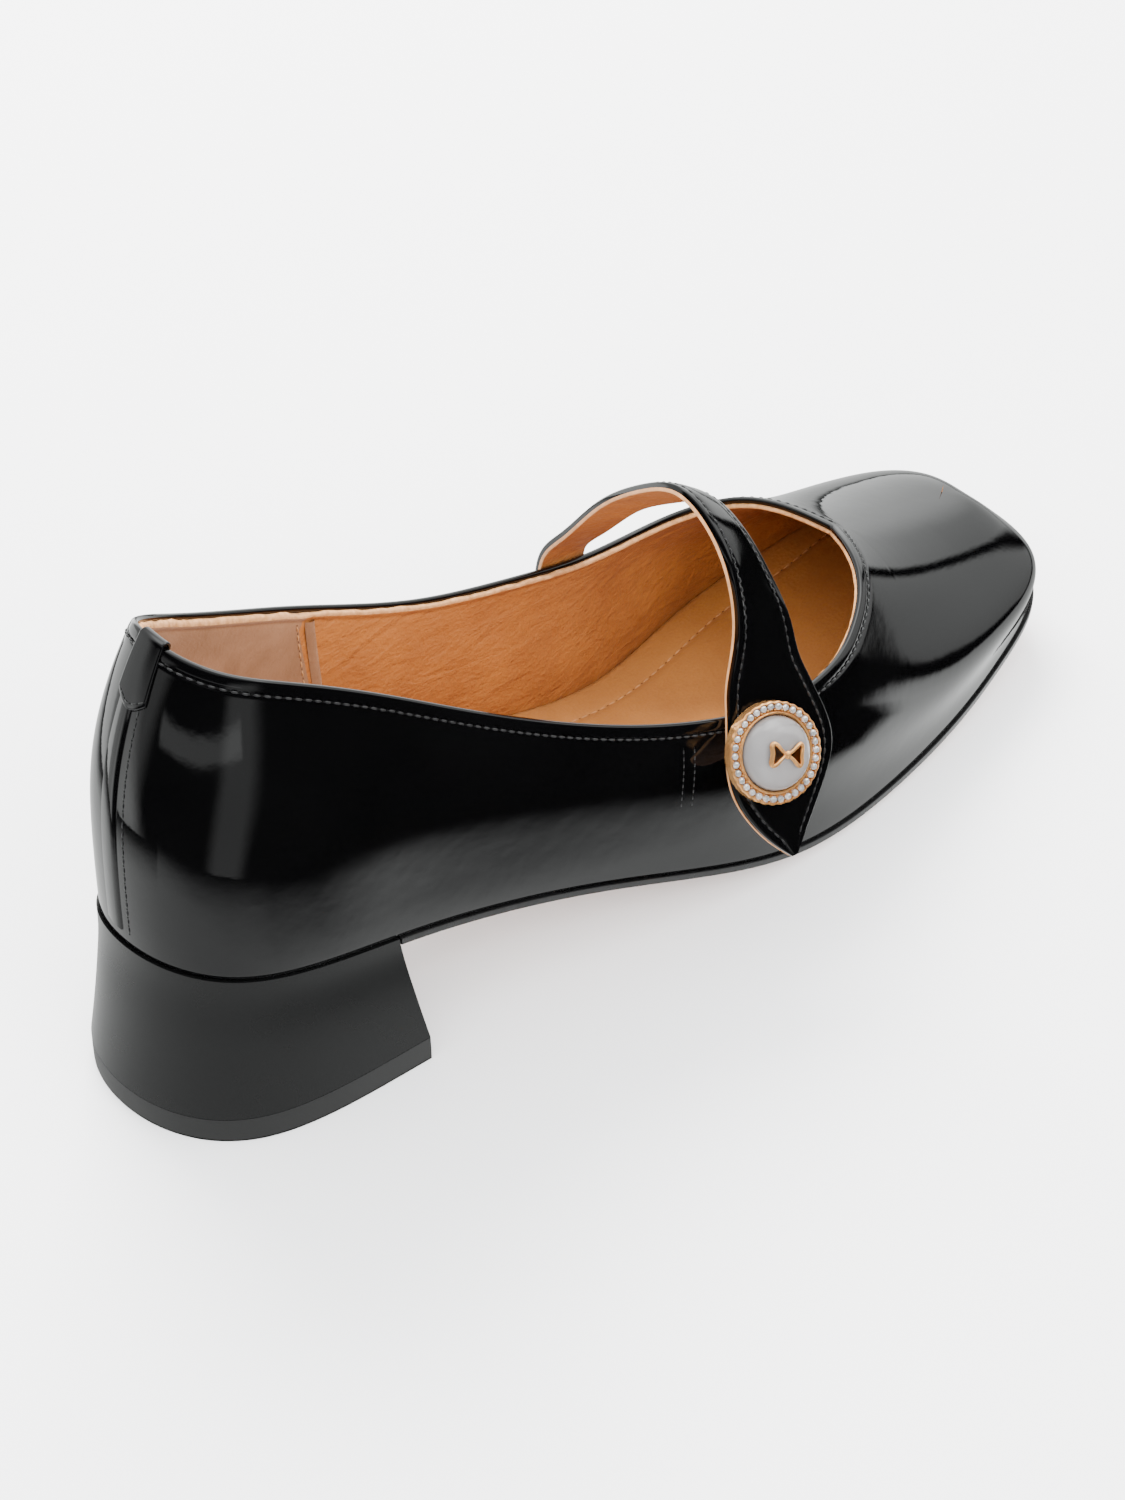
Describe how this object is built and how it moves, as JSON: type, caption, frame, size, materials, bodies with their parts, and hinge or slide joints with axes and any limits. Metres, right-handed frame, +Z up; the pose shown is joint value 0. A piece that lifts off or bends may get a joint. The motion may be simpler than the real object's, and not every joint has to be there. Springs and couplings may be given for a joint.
{
  "type": "mary jane pump",
  "caption": "Right-foot mary jane pump with a square toe, low flared block heel, patent upper and a strap over the instep with a round pearl ornament.",
  "frame": {"origin": "on the floor plane, below the middle of the bounding box of the whole shoe", "axes": "+X from the heel towards the toe, +Y towards the medial side, +Z up; a right-foot shoe, so the lateral side with the ornament faces -Y"},
  "size_m": [0.2522, 0.0984, 0.1096],
  "materials": {
    "patent_leather": "glossy black patent leather",
    "insole_leather": "matt tan leather with a fine grain",
    "sole_rubber": "satin black rubber",
    "heel_lacquer": "satin black lacquer",
    "rose_gold": "polished rose gold plate",
    "clear_stones": "clear faceted stones on foil",
    "pearl": "white pearl lacquer"
  },
  "bodies": {
    "root": {"upper": "patent_leather", "heel_tab": "patent_leather", "strap": "patent_leather", "insole": "insole_leather", "outsole": "sole_rubber", "heel_block": "heel_lacquer", "heel_lift": "sole_rubber", "ornament_bezel": "rose_gold", "ornament_stones": "clear_stones", "ornament_pearl": "pearl", "ornament_bow": "rose_gold"}
  },
  "joints": []
}
